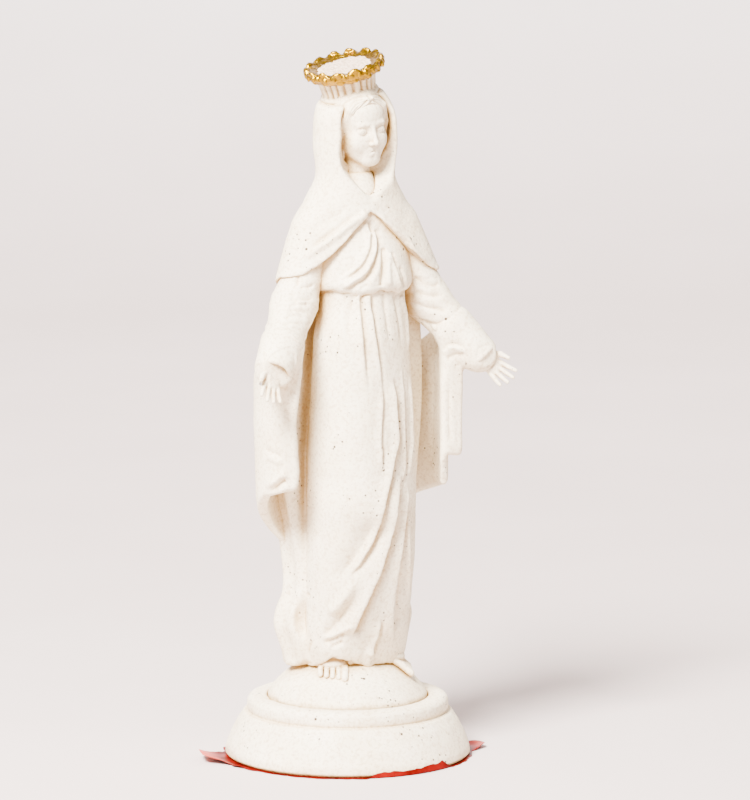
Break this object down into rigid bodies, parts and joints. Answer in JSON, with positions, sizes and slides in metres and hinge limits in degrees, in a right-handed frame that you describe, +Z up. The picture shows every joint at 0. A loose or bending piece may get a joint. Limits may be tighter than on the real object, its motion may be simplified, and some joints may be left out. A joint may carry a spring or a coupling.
{
  "type": "madonna statue",
  "caption": "Standing robed figure with open hands, veil and gilt-rimmed crown, cast in ivory plaster on a globe and a round moulded plinth.",
  "frame": {"origin": "centre of the resting face, under the plinth", "axes": "+Z up along the figure; the figure faces -Y; its right hand is on the -X side"},
  "size_m": [0.0824, 0.07, 0.1988],
  "materials": {
    "plaster": "matte unpainted ivory plaster with pinholes",
    "rough_plaster": "rough poured plaster, left as it set",
    "gilt": "glossy gold paint over plaster, thin in the crevices",
    "red_film": "torn translucent red film",
    "steel": "plain drawn rod and wire"
  },
  "bodies": {
    "root": {"base_film": "red_film", "plinth": "plaster", "globe": "plaster", "figure_rod": "steel", "skirt": "plaster", "bodice": "plaster", "mantle_back": "plaster", "right_fall": "plaster", "left_fall": "plaster", "right_sleeve": "plaster", "left_sleeve": "plaster", "right_hand": "plaster", "left_hand": "plaster", "right_hand_pin": "steel", "left_hand_pin": "steel", "right_foot": "plaster", "left_foot": "plaster", "head": "plaster", "hair": "plaster", "veil": "plaster", "neck_pin": "steel", "crown_pin": "steel", "crown_band": "plaster", "crown_rim": "gilt", "crown_fill": "rough_plaster"}
  },
  "joints": []
}
